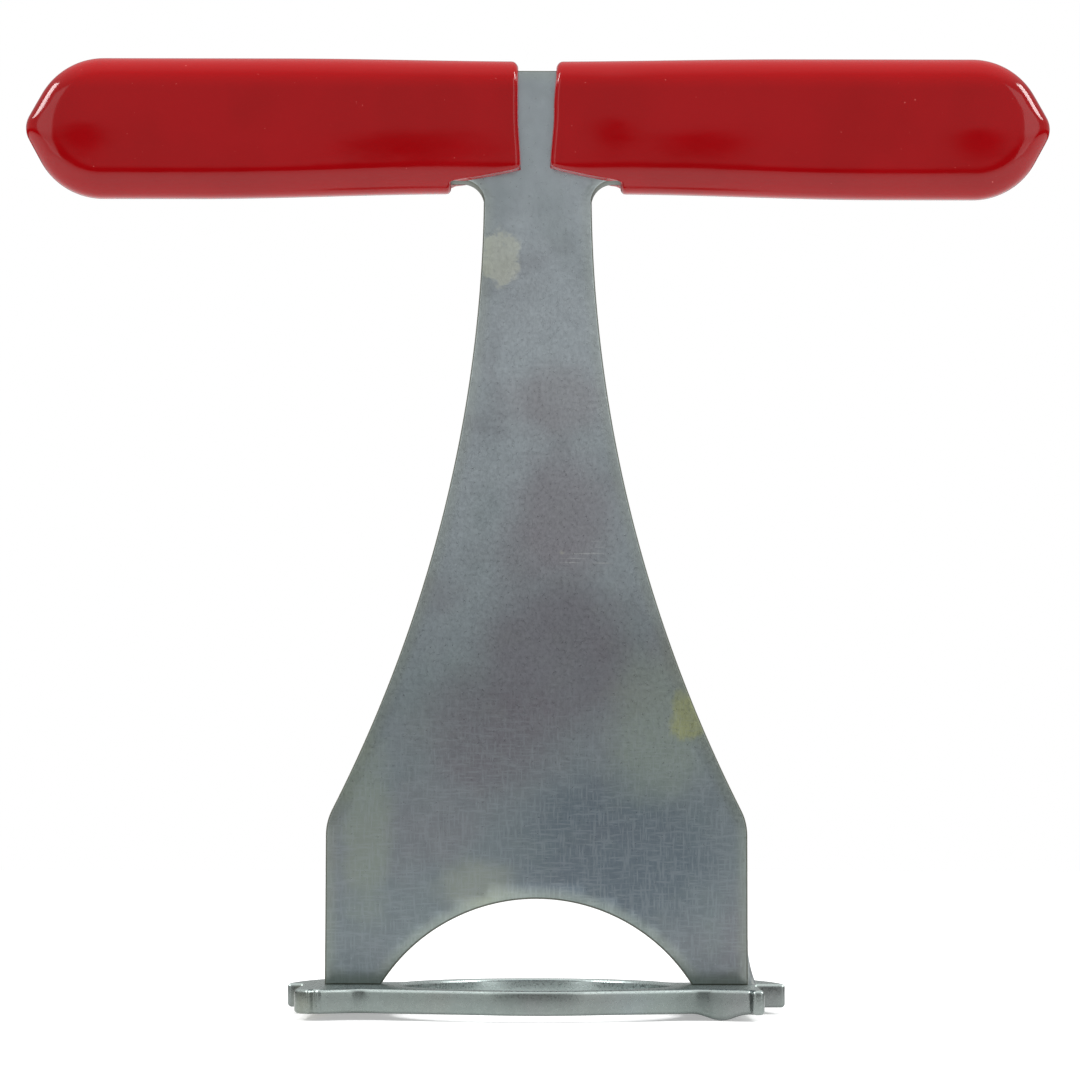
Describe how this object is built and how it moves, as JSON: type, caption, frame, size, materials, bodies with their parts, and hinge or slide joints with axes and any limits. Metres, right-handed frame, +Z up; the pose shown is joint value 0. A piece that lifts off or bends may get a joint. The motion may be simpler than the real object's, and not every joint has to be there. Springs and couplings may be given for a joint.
{
  "type": "lug key",
  "caption": "T-handled steel lug key: flat flared blade with an arch between its feet, welded across an open hoop with two lugs, with slip-on handle grips.",
  "frame": {"origin": "on the ring's axis, in the plane of the ring's underside", "axes": "+X along the handle towards the right grip, +Y to the rear, +Z up from the ring to the handle"},
  "size_m": [0.2328, 0.0655, 0.216],
  "materials": {
    "blade_steel": "blue-grey zinc plating, satin",
    "ring_steel": "zinc plating, satin, bright at its rounded edges",
    "grip_vinyl": "glossy dipped vinyl",
    "weld_metal": "zinc-plated weld bead"
  },
  "bodies": {
    "root": {"blade": "blade_steel", "lug_ring": "ring_steel", "left_grip": "grip_vinyl", "right_grip": "grip_vinyl", "left_weld": "weld_metal", "right_weld": "weld_metal"}
  },
  "joints": []
}
